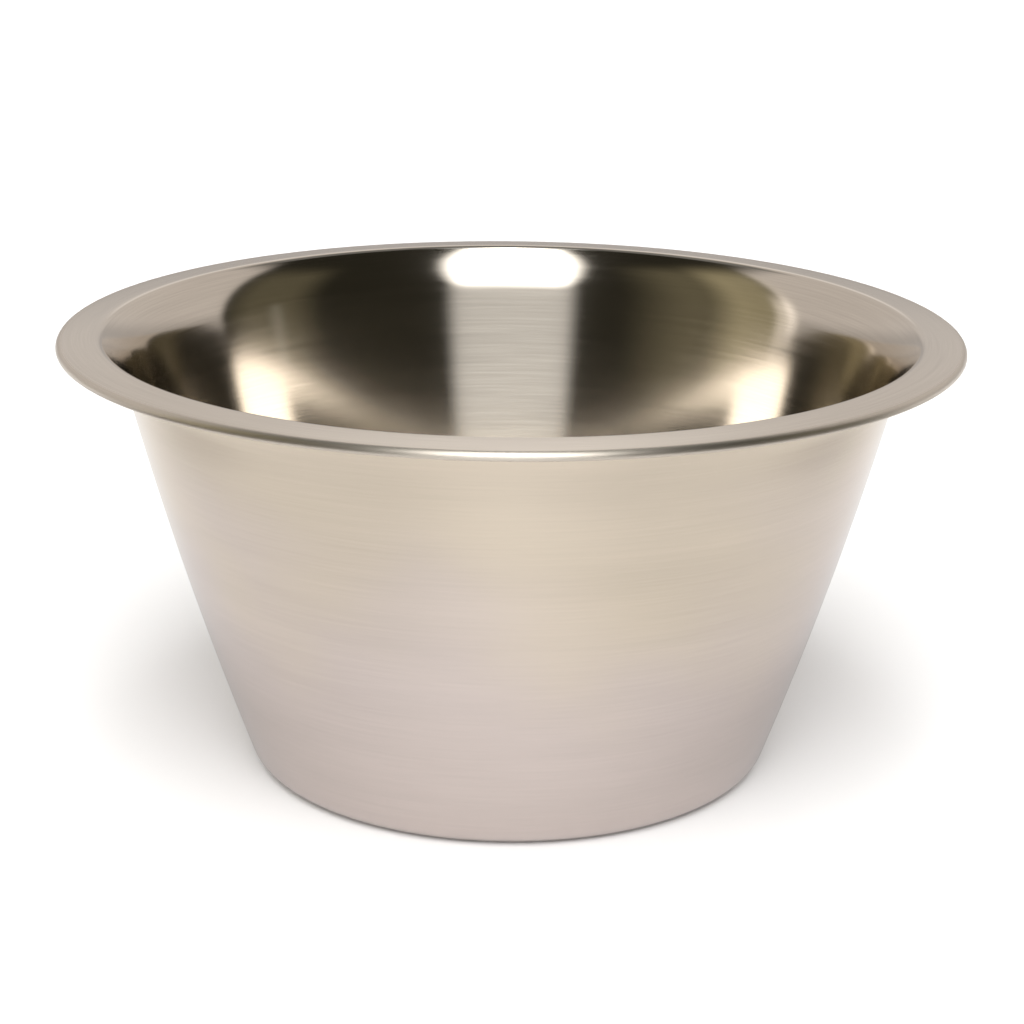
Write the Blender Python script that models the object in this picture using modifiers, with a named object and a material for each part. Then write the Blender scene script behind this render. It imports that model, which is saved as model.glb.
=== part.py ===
"""Deep mixing bowl, pressed from one round sheet of stainless steel.

Metres, +Z up. The origin is the centre of the underside of the floor, where the bowl stands.
The sheet is drawn as one line, the middle of its thickness, which is turned about the Z axis
and then given its thickness.
"""
import math

import bpy
from mathutils import Vector

# Driving dimensions
RIM_RADIUS = 0.1200
HEIGHT = 0.1195
SHEET_THICKNESS = 0.0007
FOOT_CORNER_RADIUS = 0.0071
FLARE_RADIUS = 0.0250
MOUTH_RADIUS = 0.0026
FLANGE_FLAT_WIDTH = 0.0087
EDGE_RADIUS = 0.0015
FOLD_RADIUS = 0.0008
HEM_RETURN = 0.0060

# The wall leans outwards from the vertical, more at the foot than at its top, so it bulges a little.
WALL_LEAN_AT_FOOT = math.radians(19.6)
WALL_LEAN_AT_TOP = math.radians(13.9)
# Above the wall the sheet flares out to this lean, and then bends over into the flange.
FLARE_LEAN = math.radians(44.0)
# The flange falls slightly towards its edge, where it turns down round the edge radius and then
# back under itself round the tighter fold radius.
FLANGE_FALL = math.radians(3.8)

# Straight pieces that stand for each curved stretch
TURN_STEPS = 96
FOOT_PIECES = 4
WALL_PIECES = 6
FLARE_PIECES = 3
MOUTH_PIECES = 3
HEM_QUARTER_PIECES = 3

MERGE_DISTANCE = 0.00001
STEEL_COLOUR = (0.66, 0.61, 0.56, 1.0)
STEEL_ROUGHNESS = 0.28

HALF_SHEET = SHEET_THICKNESS / 2


class SheetLine:
    """The middle of the sheet, drawn from the axis outwards as straight runs and bends."""

    def __init__(self, start):
        self.points = [Vector(start)]
        self.heading = 0.0

    def run(self, length):
        """Go straight on."""
        step = Vector((math.cos(self.heading), math.sin(self.heading))) * length
        self.points.append(self.points[-1] + step)

    def bend(self, radius, turn, pieces):
        """Follow an arc. A positive turn curves upwards."""
        side = math.copysign(1.0, turn)
        to_centre = Vector((-math.sin(self.heading), math.cos(self.heading))) * side * radius
        centre = self.points[-1] + to_centre
        start_angle = math.atan2(-to_centre.y, -to_centre.x)
        for piece in range(1, pieces + 1):
            angle = start_angle + turn * piece / pieces
            self.points.append(centre + Vector((math.cos(angle), math.sin(angle))) * radius)
        self.heading += turn


def sheet_points(floor_radius):
    """Radius and height of each point of the sheet's middle, from the axis to the folded edge."""
    foot_slope = math.pi / 2 - WALL_LEAN_AT_FOOT
    wall_slope = math.pi / 2 - WALL_LEAN_AT_TOP
    flare_slope = math.pi / 2 - FLARE_LEAN
    foot_radius = FOOT_CORNER_RADIUS - HALF_SHEET
    flare_radius = FLARE_RADIUS - HALF_SHEET
    mouth_radius = MOUTH_RADIUS - HALF_SHEET
    edge_radius = EDGE_RADIUS - HALF_SHEET
    fold_radius = FOLD_RADIUS - HALF_SHEET

    foot_rise = foot_radius * (1 - math.cos(foot_slope))
    flare_rise = flare_radius * (math.cos(flare_slope) - math.cos(wall_slope))
    mouth_rise = mouth_radius * (1 - math.cos(flare_slope))
    wall_rise = HEIGHT - SHEET_THICKNESS - foot_rise - flare_rise - mouth_rise
    wall_radius = wall_rise / (math.cos(foot_slope) - math.cos(wall_slope))

    line = SheetLine((0.0, HALF_SHEET))
    line.run(floor_radius)
    line.bend(foot_radius, foot_slope, FOOT_PIECES)
    line.bend(wall_radius, wall_slope - foot_slope, WALL_PIECES)
    line.bend(flare_radius, flare_slope - wall_slope, FLARE_PIECES)
    line.bend(mouth_radius, -flare_slope, MOUTH_PIECES)
    line.bend(mouth_radius, -FLANGE_FALL, 1)
    line.run(FLANGE_FLAT_WIDTH)
    line.bend(edge_radius, FLANGE_FALL - math.pi / 2, HEM_QUARTER_PIECES)
    line.bend(fold_radius, -math.pi / 2, HEM_QUARTER_PIECES)
    line.run(HEM_RETURN)
    return line.points


def floor_radius_for_rim():
    """Radius of the flat floor that brings the outside of the rim to RIM_RADIUS."""
    reach = max(point.x for point in sheet_points(0.0))
    return RIM_RADIUS - HALF_SHEET - reach


def clear_scene():
    """Remove what the file opened with."""
    for scene_object in list(bpy.data.objects):
        bpy.data.objects.remove(scene_object, do_unlink=True)


def steel_material():
    """Plain stainless steel."""
    material = bpy.data.materials.new("stainless_steel")
    material.use_nodes = True
    shader = material.node_tree.nodes["Principled BSDF"]
    shader.inputs["Base Color"].default_value = STEEL_COLOUR
    shader.inputs["Metallic"].default_value = 1.0
    shader.inputs["Roughness"].default_value = STEEL_ROUGHNESS
    return material


def profile_mesh(name, points):
    """A mesh of edges in the XZ plane, running down the outer side."""
    vertices = [(point.x, 0.0, point.y) for point in reversed(points)]
    edges = [(index, index + 1) for index in range(len(vertices) - 1)]
    mesh = bpy.data.meshes.new(name)
    mesh.from_pydata(vertices, edges, [])
    return mesh


def add_turning(piece):
    """Turn the profile once about the Z axis."""
    turning = piece.modifiers.new("turn", "SCREW")
    turning.axis = "Z"
    turning.angle = 2 * math.pi
    turning.steps = TURN_STEPS
    turning.render_steps = TURN_STEPS
    turning.use_merge_vertices = True
    turning.merge_threshold = MERGE_DISTANCE
    turning.use_smooth_shade = True


def add_thickness(piece):
    """Give the sheet its thickness, half to each side of the turned line."""
    thickness = piece.modifiers.new("sheet", "SOLIDIFY")
    thickness.thickness = SHEET_THICKNESS
    thickness.offset = 0.0
    thickness.use_even_offset = True
    thickness.use_rim = True


def make_bowl(collection):
    """The whole bowl: floor, foot corner, wall, mouth, flange and folded edge in one sheet."""
    mesh = profile_mesh("bowl", sheet_points(floor_radius_for_rim()))
    bowl = bpy.data.objects.new("bowl", mesh)
    collection.objects.link(bowl)
    mesh.materials.append(steel_material())
    add_turning(bowl)
    add_thickness(bowl)
    return bowl


def main():
    """Build the bowl in a collection of its own."""
    clear_scene()
    collection = bpy.data.collections.new("mixing_bowl")
    bpy.context.scene.collection.children.link(collection)
    make_bowl(collection)


main()
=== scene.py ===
import math
from collections import namedtuple

import bmesh
import bpy
from bpy.props import FloatProperty, FloatVectorProperty, PointerProperty
from bpy.types import Operator, Panel, PropertyGroup
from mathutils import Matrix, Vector


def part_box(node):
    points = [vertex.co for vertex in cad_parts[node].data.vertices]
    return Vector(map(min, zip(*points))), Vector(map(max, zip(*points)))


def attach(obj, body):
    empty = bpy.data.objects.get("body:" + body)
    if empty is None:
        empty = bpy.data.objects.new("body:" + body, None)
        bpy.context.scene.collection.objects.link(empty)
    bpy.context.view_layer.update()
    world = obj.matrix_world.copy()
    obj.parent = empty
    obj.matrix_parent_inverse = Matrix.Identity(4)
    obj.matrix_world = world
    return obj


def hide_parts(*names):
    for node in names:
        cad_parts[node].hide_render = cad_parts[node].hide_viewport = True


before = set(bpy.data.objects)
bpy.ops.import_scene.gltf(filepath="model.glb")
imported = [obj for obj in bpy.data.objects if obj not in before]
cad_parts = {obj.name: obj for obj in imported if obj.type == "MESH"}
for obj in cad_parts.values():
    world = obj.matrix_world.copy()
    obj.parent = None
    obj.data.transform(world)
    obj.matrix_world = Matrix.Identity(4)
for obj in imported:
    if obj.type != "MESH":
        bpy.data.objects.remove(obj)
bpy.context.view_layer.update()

bl_info = {
    "name": "Mixing Bowl Workshop",
    "version": (1, 0, 0),
    "blender": (4, 5, 0),
    "location": "3D View > Sidebar > Mixing Bowl",
    "description": "Presses a deep mixing bowl from steel sheet and sets it on a studio floor",
    "category": "Add Mesh",
}

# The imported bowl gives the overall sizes.
BOWL_LOW, BOWL_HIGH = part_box("bowl")
RIM_RADIUS = round((BOWL_HIGH.x - BOWL_LOW.x) / 2, 4)
BOWL_HEIGHT = round(BOWL_HIGH.z, 4)

# How finely the sheet is drawn
TURNS = 384
FLOOR_PIECES = 6
FOOT_PIECES = 10
WALL_PIECES = 28
FLARE_PIECES = 10
MOUTH_PIECES = 14
FLANGE_PIECES = 3
EDGE_PIECES = 10
FOLD_PIECES = 8
MERGE_DISTANCE = 1e-6
SHARP_EDGE = math.radians(50.0)
FULL_TURN = 2 * math.pi
# A floor radius to draw the sheet with once, to see how far beyond the floor it reaches
TRIAL_FLOOR = 0.05

# The UV map that the grain follows, and the material slots of the sheet's two sides
SHEET_MAP = "sheet"
OUTSIDE, INSIDE = 0, 1


class BowlSizes(PropertyGroup):
    """Sizes of the bowl, all measured on the finished sheet."""

    rim_radius: FloatProperty(
        name="Rim radius", description="From the axis to the outside of the folded edge",
        default=RIM_RADIUS, min=0.05, unit="LENGTH")
    height: FloatProperty(
        name="Height", description="From the surface it stands on to the top of the flange",
        default=BOWL_HEIGHT, min=0.03, unit="LENGTH")
    sheet: FloatProperty(
        name="Sheet", description="Thickness of the steel",
        default=0.0007, min=0.0003, unit="LENGTH", precision=5)
    foot_corner: FloatProperty(
        name="Foot corner", description="Outside radius of the bend between floor and wall",
        default=0.0071, min=0.001, unit="LENGTH", precision=4)
    flare: FloatProperty(
        name="Flare", description="Radius in which the wall flares out under the mouth, on the inside",
        default=0.0250, min=0.001, unit="LENGTH", precision=4)
    mouth_bend: FloatProperty(
        name="Mouth bend", description="Radius of the bend from the flare over into the flange, on top",
        default=0.0026, min=0.001, unit="LENGTH", precision=4)
    flange_flat: FloatProperty(
        name="Flange", description="Width of the straight part of the flange",
        default=0.0087, min=0.001, unit="LENGTH", precision=4)
    edge_bend: FloatProperty(
        name="Edge bend", description="Outside radius in which the flange turns down at its edge",
        default=0.0015, min=0.0005, unit="LENGTH", precision=4)
    fold_bend: FloatProperty(
        name="Fold bend", description="Outside radius in which the edge folds back under itself",
        default=0.0008, min=0.0004, unit="LENGTH", precision=4)
    hem_return: FloatProperty(
        name="Fold return", description="How far the folded edge runs back under the flange",
        default=0.0060, min=0.001, unit="LENGTH", precision=4)
    lean_at_foot: FloatProperty(
        name="Lean at foot", description="How far the wall leans from the vertical at the foot",
        default=math.radians(19.6), subtype="ANGLE")
    lean_at_top: FloatProperty(
        name="Lean at top", description="How far the wall leans from the vertical where the flare begins",
        default=math.radians(13.9), subtype="ANGLE")
    flare_lean: FloatProperty(
        name="Flare lean", description="How far the sheet leans from the vertical where the flare ends",
        default=math.radians(44.0), subtype="ANGLE")
    flange_fall: FloatProperty(
        name="Flange fall", description="How far the flange falls towards its edge",
        default=math.radians(3.8), subtype="ANGLE")


class StageSettings(PropertyGroup):
    """Camera, floor and the lamp on the floor."""

    camera_distance: FloatProperty(
        name="Camera distance", description="From the bowl's axis to the camera, level",
        default=0.6643, unit="LENGTH")
    camera_height: FloatProperty(
        name="Camera height", description="Of the camera over the floor",
        default=0.2751, unit="LENGTH")
    camera_tilt: FloatProperty(
        name="Camera tilt", description="How far the camera looks down",
        default=math.radians(17.34), subtype="ANGLE")
    camera_roll: FloatProperty(
        name="Camera roll", description="How far the camera is turned about its own line of sight",
        default=math.radians(0.566), subtype="ANGLE")
    camera_turn: FloatProperty(
        name="Camera turn", description="How far the camera looks to the right of the bowl's axis",
        default=math.radians(0.05), subtype="ANGLE")
    lens: FloatProperty(
        name="Lens", description="Focal length on a 36 mm frame",
        default=89.73, unit="CAMERA")
    floor_radius: FloatProperty(
        name="Floor radius", description="Of the round studio floor",
        default=8.0, unit="LENGTH")
    floor_colour: FloatVectorProperty(
        name="Floor colour", description="Of the studio floor",
        default=(0.92, 0.92, 0.92), size=3, subtype="COLOR", min=0.0, max=1.0)
    # What the steel sees of the floor is painted: dimmer near the bowl, and painted shade past the light.
    floor_in_steel: FloatVectorProperty(
        name="Floor in the steel", description="What the steel sees of the floor near the bowl",
        default=(0.73, 0.73, 0.74), size=3, subtype="COLOR", min=0.0, max=1.0)
    floor_shade: FloatVectorProperty(
        name="Floor shade", description="What the steel sees of the floor past the light",
        default=(0.12, 0.11, 0.10), size=3, subtype="COLOR", min=0.0, max=1.0)
    floor_lamp: FloatProperty(
        name="Floor lamp", description="Strength of the lamp that whitens the floor",
        default=2.55, min=0.0)


# The sheet


class SheetLine:
    """The middle of the sheet, drawn from the axis outwards in the XZ plane of a bmesh."""

    def __init__(self, bm, height):
        self.bm = bm
        self.along = bm.verts.layers.float.new("along")
        self.tip = bmesh.ops.create_vert(bm, co=(0.0, 0.0, height))["vert"][0]
        self.heading = 0.0

    def run(self, length, pieces):
        """Go straight on."""
        step = Vector((math.cos(self.heading), 0.0, math.sin(self.heading))) * (length / pieces)
        for _ in range(pieces):
            tip = bmesh.ops.extrude_vert_indiv(self.bm, verts=[self.tip])["verts"][0]
            bmesh.ops.translate(self.bm, verts=[tip], vec=step)
            tip[self.along] = self.tip[self.along] + length / pieces
            self.tip = tip

    def bend(self, radius, turn, pieces):
        """Follow an arc. A positive turn curves upwards."""
        side = math.copysign(radius, turn)
        centre = self.tip.co + Vector((-math.sin(self.heading), 0.0, math.cos(self.heading))) * side
        for _ in range(pieces):
            made = bmesh.ops.spin(
                self.bm, geom=[self.tip], cent=centre, axis=(0.0, -1.0, 0.0),
                angle=turn / pieces, steps=1)
            tip = made["geom_last"][0]
            tip[self.along] = self.tip[self.along] + abs(radius * turn / pieces)
            self.tip = tip
        self.heading += turn


def draw_sheet(bm, sizes, flat_radius):
    """Draw the sheet from the middle of the floor to the folded edge, and say how far along it
    the edge begins."""
    half = sizes.sheet / 2
    foot_slope = math.pi / 2 - sizes.lean_at_foot
    wall_slope = math.pi / 2 - sizes.lean_at_top
    flare_slope = math.pi / 2 - sizes.flare_lean
    foot = sizes.foot_corner - half
    flare = sizes.flare - half
    mouth = sizes.mouth_bend - half
    edge = sizes.edge_bend - half
    fold = sizes.fold_bend - half
    foot_rise = foot * (1 - math.cos(foot_slope))
    flare_rise = flare * (math.cos(flare_slope) - math.cos(wall_slope))
    mouth_rise = mouth * (1 - math.cos(flare_slope))
    wall_rise = sizes.height - sizes.sheet - foot_rise - flare_rise - mouth_rise
    wall = wall_rise / (math.cos(foot_slope) - math.cos(wall_slope))

    line = SheetLine(bm, half)
    line.run(flat_radius, FLOOR_PIECES)
    line.bend(foot, foot_slope, FOOT_PIECES)
    line.bend(wall, wall_slope - foot_slope, WALL_PIECES)
    line.bend(flare, flare_slope - wall_slope, FLARE_PIECES)
    line.bend(mouth, -flare_slope - sizes.flange_fall, MOUTH_PIECES)
    line.run(sizes.flange_flat, FLANGE_PIECES)
    edge_start = line.tip[line.along]
    line.bend(edge, sizes.flange_fall - math.pi / 2, EDGE_PIECES)
    line.bend(fold, -math.pi / 2, FOLD_PIECES)
    line.run(sizes.hem_return, FLANGE_PIECES)
    return edge_start


def flat_floor_radius(sizes):
    """Radius of the flat floor that brings the folded edge out to the rim radius."""
    bm = bmesh.new()
    draw_sheet(bm, sizes, TRIAL_FLOOR)
    reach = max(vert.co.x for vert in bm.verts) - TRIAL_FLOOR
    bm.free()
    return sizes.rim_radius - sizes.sheet / 2 - reach


def turn_sheet(bm):
    """Turn the drawn line once about the Z axis and close it at the pole."""
    bmesh.ops.spin(
        bm, geom=bm.verts[:] + bm.edges[:], cent=(0.0, 0.0, 0.0), axis=(0.0, 0.0, 1.0),
        angle=FULL_TURN, steps=TURNS, use_merge=True)
    bmesh.ops.remove_doubles(bm, verts=bm.verts[:], dist=MERGE_DISTANCE)
    bmesh.ops.recalc_face_normals(bm, faces=bm.faces[:])
    lowest = min(bm.faces, key=lambda face: face.calc_center_median().length)
    if lowest.normal.z > 0:
        bmesh.ops.reverse_faces(bm, faces=bm.faces[:])


def map_sheet(bm):
    """Lay a UV map on the sheet: U goes once round the bowl, V is metres along the sheet."""
    along = bm.verts.layers.float["along"]
    sheet_map = bm.loops.layers.uv.new(SHEET_MAP)
    for face in bm.faces:
        middle = face.calc_center_median()
        face_turn = math.atan2(middle.y, middle.x)
        for loop in face.loops:
            spot = loop.vert.co
            turn = face_turn
            if spot.xy.length > MERGE_DISTANCE:
                turn = math.atan2(spot.y, spot.x)
                turn += FULL_TURN * round((face_turn - turn) / FULL_TURN)
            loop[sheet_map].uv = (turn / FULL_TURN, loop.vert[along])
        face.smooth = True


def thicken(piece, thickness):
    """Give the sheet its thickness, half to each side, with the inside in its own finish."""
    solid = piece.modifiers.new("sheet", "SOLIDIFY")
    solid.thickness = thickness
    solid.offset = 0.0
    solid.use_even_offset = True
    solid.material_offset = INSIDE
    solid.material_offset_rim = OUTSIDE
    depsgraph = bpy.context.evaluated_depsgraph_get()
    finished = bpy.data.meshes.new_from_object(piece.evaluated_get(depsgraph))
    piece.modifiers.clear()
    piece.data = finished
    finished.set_sharp_from_angle(angle=SHARP_EDGE)


# Materials


def add_node(tree, kind, values=None, **settings):
    """Add a shader node, with its settings and the values of its sockets."""
    node = tree.nodes.new(kind)
    for name, value in settings.items():
        setattr(node, name, value)
    for name, value in (values or {}).items():
        node.inputs[name].default_value = value
    return node


def mix_colours(tree, factor, first, second):
    """Mix two colours, each a constant or the output of a node."""
    mix = add_node(tree, "ShaderNodeMix", data_type="RGBA")
    tree.links.new(factor, mix.inputs[0])
    # Inputs 6 and 7 are the two colours, after the pairs of numbers and of vectors.
    for socket, colour in ((mix.inputs[6], first), (mix.inputs[7], second)):
        if isinstance(colour, bpy.types.NodeSocket):
            tree.links.new(colour, socket)
        else:
            socket.default_value = (*colour, 1.0)
    return mix.outputs[2]


def smooth_range(tree, start, end, to_max=1.0):
    """Go smoothly from 0 at the start to a highest value at the end."""
    values = {"From Min": start, "From Max": end, "To Max": to_max}
    return add_node(tree, "ShaderNodeMapRange", values, interpolation_type="SMOOTHSTEP")


Finish = namedtuple("Finish", "high low change_height change_reach roughness anisotropy grain bands")

# The steel's colour high up and low down, the height where one gives way to the other and how
# gently, then its gloss, how strongly the gloss follows the grain, and how strongly the fine
# grain and the broad bands of the polishing show. On the outside the cooler colour low down is
# painted reflection: the shaded floor near the foot, mirrored in the steel.
OUTSIDE_FINISH_AND_PAINTED_REFLECTION = Finish((0.72, 0.63, 0.515), (0.67, 0.59, 0.55), 0.070, 0.030, 0.16, 0.70, 0.025, 0.035)
INSIDE_FINISH = Finish((0.67, 0.61, 0.53), (0.67, 0.61, 0.53), 0.050, 0.040, 0.12, 0.62, 0.040, 0.040)

# Streaks round the bowl per radian, lines per metre up the sheet, and how broken up they are
Grain = namedtuple("Grain", "around across detail")
FINE_GRAIN = Grain(4.0, 3200.0, 3.0)
COARSE_GRAIN = Grain(2.0, 1200.0, 2.0)
POLISHING_BANDS = Grain(0.9, 75.0, 3.0)

# Depth of the fine grain in metres, and how much the gloss changes with the coarse grain
GRAIN_DEPTH = 0.0000009
GLOSS_CHANGE = 0.10
# A quarter turn draws the gloss out up the wall, across the grain.
GLOSS_TURN = 0.25

# The part of a noise's range that is used, because it seldom goes beyond
NOISE_LOW, NOISE_HIGH = 0.3, 0.7

# Size of the clouds in the tint, how broken up they are, and how far in metres they move the border of
# its painted reflection
CLOUD_SCALE = 14.0
CLOUD_DETAIL = 2.0
CLOUD_SHIFT = 0.12

# How much rougher the folded edge is, and how gently the polish gives way to it
EDGE_DULLING = 0.27
EDGE_BLEND = 0.0006


def sheet_place(tree):
    """Where a point is on the sheet: its direction from the axis and its distance along the sheet
    as one vector, then that distance, and its place in space."""
    place = add_node(tree, "ShaderNodeTexCoord")
    level = add_node(tree, "ShaderNodeVectorMath", {1: (1.0, 1.0, 0.0)}, operation="MULTIPLY")
    direction = add_node(tree, "ShaderNodeVectorMath", operation="NORMALIZE")
    sheet_map = add_node(tree, "ShaderNodeUVMap", uv_map=SHEET_MAP)
    map_parts = add_node(tree, "ShaderNodeSeparateXYZ")
    along = add_node(tree, "ShaderNodeCombineXYZ")
    spot = add_node(tree, "ShaderNodeVectorMath", operation="ADD")
    tree.links.new(place.outputs["Object"], level.inputs[0])
    tree.links.new(level.outputs[0], direction.inputs[0])
    tree.links.new(sheet_map.outputs[0], map_parts.inputs[0])
    tree.links.new(map_parts.outputs["Y"], along.inputs["Z"])
    tree.links.new(direction.outputs[0], spot.inputs[0])
    tree.links.new(along.outputs[0], spot.inputs[1])
    return spot.outputs[0], map_parts.outputs["Y"], place.outputs["Object"]


def streaks(tree, spot, grain):
    """Noise drawn out round the bowl."""
    scale = (grain.around, grain.around, grain.across)
    scaled = add_node(tree, "ShaderNodeVectorMath", {1: scale}, operation="MULTIPLY")
    noise = add_node(tree, "ShaderNodeTexNoise", {"Scale": 1.0, "Detail": grain.detail})
    tree.links.new(spot, scaled.inputs[0])
    tree.links.new(scaled.outputs[0], noise.inputs["Vector"])
    return noise.outputs["Fac"]


def clouds(tree, place):
    """Soft cloudy patches."""
    noise = add_node(tree, "ShaderNodeTexNoise", {"Scale": CLOUD_SCALE, "Detail": CLOUD_DETAIL})
    tree.links.new(place, noise.inputs["Vector"])
    return noise.outputs["Fac"]


def spread(tree, value, low, high):
    """Stretch the middle of a noise to run from the low to the high value."""
    values = {"From Min": NOISE_LOW, "From Max": NOISE_HIGH, "To Min": low, "To Max": high}
    node = add_node(tree, "ShaderNodeMapRange", values, clamp=True)
    tree.links.new(value, node.inputs["Value"])
    return node.outputs[0]


def vary(tree, value, amount):
    """Turn a noise into a factor that goes as far below 1 as above it."""
    return spread(tree, value, 1.0 - amount, 1.0 + amount)


def multiply(tree, first, second):
    """Multiply two values."""
    node = add_node(tree, "ShaderNodeMath", operation="MULTIPLY")
    tree.links.new(first, node.inputs[0])
    tree.links.new(second, node.inputs[1])
    return node.outputs[0]


def painted_reflection_mask(tree, place, cloud, finish):
    """Go from 0 high on the bowl to 1 low on it, along a cloudy border, where the colour goes over to the
    painted reflection of the shaded floor.
    """
    parts = add_node(tree, "ShaderNodeSeparateXYZ")
    wander = add_node(tree, "ShaderNodeMath", {1: CLOUD_SHIFT}, operation="MULTIPLY_ADD")
    middle = finish.change_height + CLOUD_SHIFT / 2
    change = smooth_range(tree, middle + finish.change_reach, middle - finish.change_reach)
    tree.links.new(place, parts.inputs[0])
    tree.links.new(cloud, wander.inputs[0])
    tree.links.new(parts.outputs["Z"], wander.inputs[2])
    tree.links.new(wander.outputs[0], change.inputs["Value"])
    return change.outputs[0]


def steel_material(name, finish, edge_start):
    """Satin stainless steel, polished round the bowl and left duller where the edge is folded. Low down
    its colour goes over to the finish's low colour, which on the outside is painted reflection of the
    shaded floor.
    """
    material = bpy.data.materials.new(name)
    material.use_nodes = True
    tree = material.node_tree
    shader = tree.nodes["Principled BSDF"]
    shader.inputs["Metallic"].default_value = 1.0
    shader.inputs["Anisotropic"].default_value = finish.anisotropy
    shader.inputs["Anisotropic Rotation"].default_value = GLOSS_TURN
    tangent = add_node(tree, "ShaderNodeTangent", direction_type="UV_MAP", uv_map=SHEET_MAP)
    tree.links.new(tangent.outputs["Tangent"], shader.inputs["Tangent"])

    spot, along, place = sheet_place(tree)
    fine = streaks(tree, spot, FINE_GRAIN)
    coarse = streaks(tree, spot, COARSE_GRAIN)
    bands = streaks(tree, spot, POLISHING_BANDS)
    # Low down the colour goes over to a cooler painted reflection of the shaded floor near the foot.
    painted_reflection_border = painted_reflection_mask(tree, place, clouds(tree, place), finish)
    tint = mix_colours(tree, painted_reflection_border, finish.high, finish.low)
    grain = multiply(tree, vary(tree, fine, finish.grain), vary(tree, coarse, finish.grain / 2))
    brightness = multiply(tree, grain, vary(tree, bands, finish.bands))
    colour = add_node(tree, "ShaderNodeVectorMath", operation="SCALE")
    tree.links.new(tint, colour.inputs[0])
    tree.links.new(brightness, colour.inputs["Scale"])
    tree.links.new(colour.outputs[0], shader.inputs["Base Color"])

    polished = spread(
        tree, coarse, finish.roughness * (1.0 - GLOSS_CHANGE), finish.roughness * (1.0 + GLOSS_CHANGE))
    dulled = smooth_range(tree, edge_start - EDGE_BLEND, edge_start + EDGE_BLEND, EDGE_DULLING)
    roughness = add_node(tree, "ShaderNodeMath", operation="ADD")
    tree.links.new(along, dulled.inputs["Value"])
    tree.links.new(polished, roughness.inputs[0])
    tree.links.new(dulled.outputs[0], roughness.inputs[1])
    tree.links.new(roughness.outputs[0], shader.inputs["Roughness"])

    scratch = add_node(tree, "ShaderNodeBump", {"Strength": 1.0, "Distance": GRAIN_DEPTH})
    tree.links.new(fine, scratch.inputs["Height"])
    tree.links.new(scratch.outputs[0], shader.inputs["Normal"])
    return material


PAPER_ROUGHNESS = 0.9
# Where the floor is painted dark for the steel, in metres from the bowl's axis: to both sides, a little
# close by as painted shade from the bowl and fully further off as painted shade past the light, and
# towards the front
SIDE_NEAR = (0.0, 0.12)
SIDE_NEAR_SHADE = 0.15
SIDE_FAR = (0.155, 0.38)
FRONT = (0.25, -0.05)


def floor_material(colour, in_steel, shade):
    """White paper. The steel sees painted shade on it, dimmer near the bowl and dark to both sides of the
    front, past the edge of the light, and the camera sees it plain."""
    material = bpy.data.materials.new("studio_floor")
    material.use_nodes = True
    tree = material.node_tree
    shader = tree.nodes["Principled BSDF"]
    shader.inputs["Roughness"].default_value = PAPER_ROUGHNESS
    shader.inputs["Specular IOR Level"].default_value = 0.0
    place = add_node(tree, "ShaderNodeTexCoord")
    parts = add_node(tree, "ShaderNodeSeparateXYZ")
    sideways = add_node(tree, "ShaderNodeMath", operation="ABSOLUTE")
    near_side = smooth_range(tree, *SIDE_NEAR, SIDE_NEAR_SHADE)
    far_side = smooth_range(tree, *SIDE_FAR)
    side = add_node(tree, "ShaderNodeMath", operation="MAXIMUM")
    in_front = smooth_range(tree, *FRONT)
    painted_floor_shade = add_node(tree, "ShaderNodeMath", operation="MULTIPLY")
    # The steel sees the floor with painted shade; the camera sees the plain paper.
    reflected = mix_colours(tree, painted_floor_shade.outputs[0], in_steel, shade)
    path = add_node(tree, "ShaderNodeLightPath")
    paper = mix_colours(tree, path.outputs["Is Camera Ray"], reflected, colour)
    tree.links.new(place.outputs["Object"], parts.inputs[0])
    tree.links.new(parts.outputs["X"], sideways.inputs[0])
    tree.links.new(sideways.outputs[0], near_side.inputs["Value"])
    tree.links.new(sideways.outputs[0], far_side.inputs["Value"])
    tree.links.new(parts.outputs["Y"], in_front.inputs["Value"])
    tree.links.new(near_side.outputs[0], side.inputs[0])
    tree.links.new(far_side.outputs[0], side.inputs[1])
    tree.links.new(side.outputs[0], painted_floor_shade.inputs[0])
    tree.links.new(in_front.outputs[0], painted_floor_shade.inputs[1])
    tree.links.new(paper, shader.inputs["Base Color"])
    return material


# The stage

FLOOR_SEGMENTS = 96
# How wide the lamp's soft light is, and how far from overhead it shines, from the camera's side
LAMP_WIDTH = math.radians(70.0)
LAMP_LEAN = math.radians(40.0)
SENSOR_WIDTH = 36.0
NEAREST_SEEN = 0.01


def lay_floor(context, stage):
    """A round floor that the bowl stands on."""
    bm = bmesh.new()
    bmesh.ops.create_circle(bm, cap_ends=True, segments=FLOOR_SEGMENTS, radius=stage.floor_radius)
    mesh = bpy.data.meshes.new("studio_floor")
    bm.to_mesh(mesh)
    bm.free()
    mesh.materials.append(floor_material(stage.floor_colour, stage.floor_in_steel, stage.floor_shade))
    floor = bpy.data.objects.new("studio_floor", mesh)
    context.scene.collection.objects.link(floor)


# A soft patch of light far off. Its middle, its reach to each side, its lowest and highest
# points and the softness of its sides and of its top and bottom are in degrees. Azimuth 0 is
# behind the camera and grows to the right. A patch with a spread widens as it rises.
Patch = namedtuple("Patch", "azimuth reach spread low high side_edge end_edge colour strength")

NEUTRAL = (1.0, 1.0, 1.0)
COOL = (0.94, 0.98, 1.0)
ROSE_GREY = (1.0, 0.94, 0.91)
OLIVE = (1.0, 0.89, 0.57)
STRAW = (1.0, 0.93, 0.66)

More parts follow.
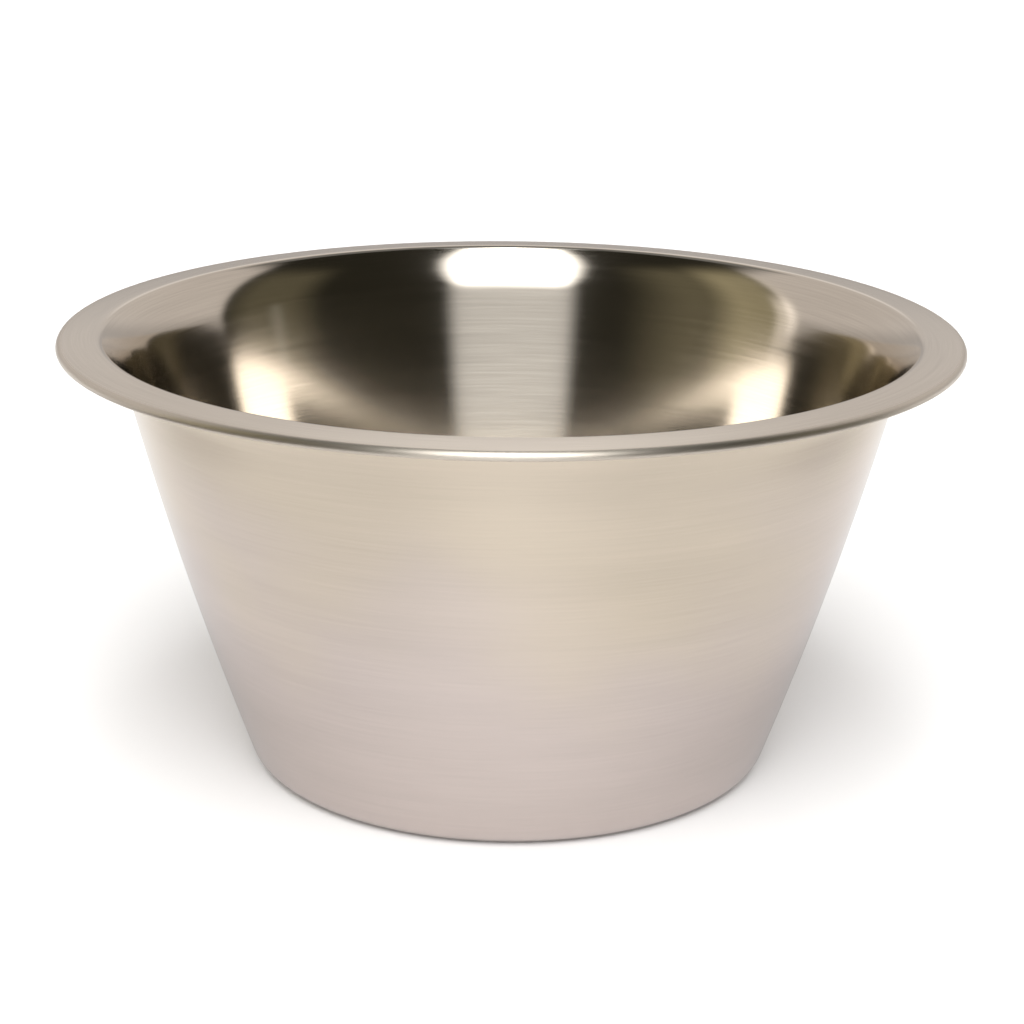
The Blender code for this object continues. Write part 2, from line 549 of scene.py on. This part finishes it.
STUDIO = {
    "dim room": Patch(0.0, 180.0, 0.0, -90.0, 90.0, 9.0, 1.0, STRAW, 0.025),
    "box over the camera": Patch(0.0, 12.1, 1.3, 21.5, 95.0, 2.8, 3.6, NEUTRAL, 3.7),
    "far end of the box": Patch(0.0, 38.0, 0.0, 74.0, 95.0, 8.0, 4.0, NEUTRAL, 1.6),
    "overhead": Patch(0.0, 180.0, 0.0, 82.0, 95.0, 9.0, 5.0, COOL, 1.6),
    "paper in front": Patch(0.0, 21.0, 0.0, -5.0, 8.0, 2.5, 2.0, NEUTRAL, 1.5),
    "gap over the paper": Patch(0.0, 20.0, 0.0, 8.0, 22.0, 3.5, 2.0, NEUTRAL, 0.61),
    "backdrop": Patch(183.0, 79.5, 0.0, 9.0, 50.0, 2.0, 5.0, ROSE_GREY, 0.65),
    "foot of the backdrop": Patch(183.0, 79.5, 0.0, -5.0, 9.0, 2.0, 5.0, ROSE_GREY, 0.45),
    "middle of the backdrop": Patch(180.0, 6.0, 0.0, 20.0, 45.0, 6.0, 4.0, NEUTRAL, 0.30),
    "over the backdrop": Patch(183.0, 70.0, 0.0, 50.0, 76.0, 10.0, 7.0, NEUTRAL, 0.2),
    "edge of the backdrop": Patch(-97.0, 4.0, 0.0, -5.0, 26.0, 2.5, 8.0, ROSE_GREY, 0.60),
    "left wall": Patch(-85.0, 12.0, 0.0, -5.0, 50.0, 8.0, 8.0, OLIVE, 0.32),
    "left corner": Patch(-62.0, 14.0, 0.0, -5.0, 50.0, 14.0, 8.0, OLIVE, 0.12),
    "right wall": Patch(84.0, 14.0, 0.0, 0.0, 45.0, 8.0, 8.0, OLIVE, 0.10),
    "right corner": Patch(81.0, 2.0, 0.0, -5.0, 12.0, 2.0, 3.0, NEUTRAL, 0.12),
}
# How much a spreading patch widens for each radian that it rises
SPREAD_RATE = 0.98


def soft_step(tree, start, end):
    """Go smoothly from 0 at the start to 1 at the end, both in degrees."""
    return smooth_range(tree, math.radians(start), math.radians(end))


def light_patch(tree, azimuth, elevation, patch, before):
    """Add one soft patch of light to what the world already sends."""
    turned = add_node(tree, "ShaderNodeMath", {1: math.radians(patch.azimuth)}, operation="SUBTRACT")
    wrapped = add_node(tree, "ShaderNodeMath", {1: math.pi, 2: -math.pi}, operation="WRAP")
    sideways = add_node(tree, "ShaderNodeMath", operation="ABSOLUTE")
    rise = {1: patch.spread * SPREAD_RATE, 2: 1.0}
    widening = add_node(tree, "ShaderNodeMath", rise, operation="MULTIPLY_ADD")
    narrowed = add_node(tree, "ShaderNodeMath", operation="DIVIDE")
    across = soft_step(tree, patch.reach + patch.side_edge, patch.reach - patch.side_edge)
    above = soft_step(tree, patch.low - patch.end_edge, patch.low + patch.end_edge)
    below = soft_step(tree, patch.high + patch.end_edge, patch.high - patch.end_edge)
    belt = add_node(tree, "ShaderNodeMath", operation="MULTIPLY")
    shape = add_node(tree, "ShaderNodeMath", operation="MULTIPLY")
    colour = [patch.strength * part for part in patch.colour]
    light = add_node(tree, "ShaderNodeVectorMath", {1: colour}, operation="MULTIPLY_ADD")
    tree.links.new(azimuth, turned.inputs[0])
    tree.links.new(turned.outputs[0], wrapped.inputs[0])
    tree.links.new(wrapped.outputs[0], sideways.inputs[0])
    tree.links.new(elevation, widening.inputs[0])
    tree.links.new(sideways.outputs[0], narrowed.inputs[0])
    tree.links.new(widening.outputs[0], narrowed.inputs[1])
    tree.links.new(narrowed.outputs[0], across.inputs["Value"])
    tree.links.new(elevation, above.inputs["Value"])
    tree.links.new(elevation, below.inputs["Value"])
    tree.links.new(above.outputs[0], belt.inputs[0])
    tree.links.new(below.outputs[0], belt.inputs[1])
    tree.links.new(belt.outputs[0], shape.inputs[0])
    tree.links.new(across.outputs[0], shape.inputs[1])
    tree.links.new(shape.outputs[0], light.inputs[0])
    if before:
        tree.links.new(before, light.inputs[2])
    return light.outputs[0]


def light_studio(context):
    """Soft light from the studio, and a plain pale background for the camera."""
    world = bpy.data.worlds.new("studio")
    world.use_nodes = True
    tree = world.node_tree
    place = add_node(tree, "ShaderNodeTexCoord")
    parts = add_node(tree, "ShaderNodeSeparateXYZ")
    front = add_node(tree, "ShaderNodeMath", {1: -1.0}, operation="MULTIPLY")
    azimuth = add_node(tree, "ShaderNodeMath", operation="ARCTAN2")
    elevation = add_node(tree, "ShaderNodeMath", operation="ARCSINE")
    tree.links.new(place.outputs["Generated"], parts.inputs[0])
    tree.links.new(parts.outputs["Y"], front.inputs[0])
    tree.links.new(parts.outputs["X"], azimuth.inputs[0])
    tree.links.new(front.outputs[0], azimuth.inputs[1])
    tree.links.new(parts.outputs["Z"], elevation.inputs[0])
    light = None
    for patch in STUDIO.values():
        light = light_patch(tree, azimuth.outputs[0], elevation.outputs[0], patch, light)
    studio = tree.nodes["Background"]
    tree.links.new(light, studio.inputs["Color"])
    backdrop = add_node(tree, "ShaderNodeBackground", {"Color": (1.0, 1.0, 1.0, 1.0)})
    path = add_node(tree, "ShaderNodeLightPath")
    seen = add_node(tree, "ShaderNodeMixShader")
    tree.links.new(path.outputs["Is Camera Ray"], seen.inputs[0])
    tree.links.new(studio.outputs[0], seen.inputs[1])
    tree.links.new(backdrop.outputs[0], seen.inputs[2])
    tree.links.new(seen.outputs[0], tree.nodes["World Output"].inputs["Surface"])
    context.scene.world = world


def hang_lamp(context, stage):
    """A wide soft lamp that whitens the floor and doesn't show in the steel."""
    lamp = bpy.data.objects.new("floor_lamp", bpy.data.lights.new("floor_lamp", "SUN"))
    lamp.data.energy = stage.floor_lamp
    lamp.data.angle = LAMP_WIDTH
    lamp.rotation_euler.x = LAMP_LEAN
    lamp.visible_glossy = False
    context.scene.collection.objects.link(lamp)


def place_camera(context, stage):
    """In front of the bowl and a little above its mouth."""
    camera = bpy.data.objects.new("camera", bpy.data.cameras.new("camera"))
    camera.data.lens = stage.lens
    camera.data.sensor_width = SENSOR_WIDTH
    camera.data.clip_start = NEAREST_SEEN
    camera.location = (0.0, -stage.camera_distance, stage.camera_height)
    camera.rotation_euler = (math.pi / 2 - stage.camera_tilt, 0.0, -stage.camera_turn)
    camera.rotation_euler.rotate_axis("Z", stage.camera_roll)
    context.scene.collection.objects.link(camera)
    context.scene.camera = camera


# Operators


class BOWL_OT_press(Operator):
    """Press the bowl from one sheet of steel"""

    bl_idname = "bowl.press"
    bl_label = "Press Bowl"

    def execute(self, context):
        sizes = context.scene.bowl_sizes
        bm = bmesh.new()
        edge_start = draw_sheet(bm, sizes, flat_floor_radius(sizes))
        turn_sheet(bm)
        map_sheet(bm)
        mesh = bpy.data.meshes.new("steel_bowl")
        bm.to_mesh(mesh)
        bm.free()
        mesh.materials.append(steel_material("steel_outside", OUTSIDE_FINISH_AND_PAINTED_REFLECTION, edge_start))
        mesh.materials.append(steel_material("steel_inside", INSIDE_FINISH, edge_start))
        bowl = bpy.data.objects.new("steel_bowl", mesh)
        context.scene.collection.objects.link(bowl)
        thicken(bowl, sizes.sheet)
        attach(bowl, "root")
        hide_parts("bowl")
        return {"FINISHED"}


class BOWL_OT_set_stage(Operator):
    """Lay the floor, light the studio and place the camera"""

    bl_idname = "bowl.set_stage"
    bl_label = "Set Stage"

    def execute(self, context):
        stage = context.scene.bowl_stage
        lay_floor(context, stage)
        light_studio(context)
        hang_lamp(context, stage)
        place_camera(context, stage)
        context.scene.view_settings.view_transform = "Standard"
        return {"FINISHED"}


class BOWL_PT_workshop(Panel):
    """The workshop's tools and sizes"""

    bl_label = "Mixing Bowl"
    bl_idname = "BOWL_PT_workshop"
    bl_space_type = "VIEW_3D"
    bl_region_type = "UI"
    bl_category = "Mixing Bowl"

    def draw(self, context):
        for group in (context.scene.bowl_sizes, context.scene.bowl_stage):
            column = self.layout.column(align=True)
            for name in group.__annotations__:
                column.prop(group, name)
        for operator in OPERATORS:
            self.layout.operator(operator.bl_idname)


OPERATORS = (BOWL_OT_press, BOWL_OT_set_stage)
CLASSES = (BowlSizes, StageSettings, *OPERATORS, BOWL_PT_workshop)


def register():
    """Register the classes and the settings that belong to the scene."""
    for cls in CLASSES:
        bpy.utils.register_class(cls)
    bpy.types.Scene.bowl_sizes = PointerProperty(type=BowlSizes)
    bpy.types.Scene.bowl_stage = PointerProperty(type=StageSettings)


def unregister():
    """Undo what register does."""
    del bpy.types.Scene.bowl_stage
    del bpy.types.Scene.bowl_sizes
    for cls in reversed(CLASSES):
        bpy.utils.unregister_class(cls)


def main():
    """Make the bowl and its stage."""
    register()
    bpy.ops.bowl.press()
    bpy.ops.bowl.set_stage()


if __name__ == "__main__":
    main()
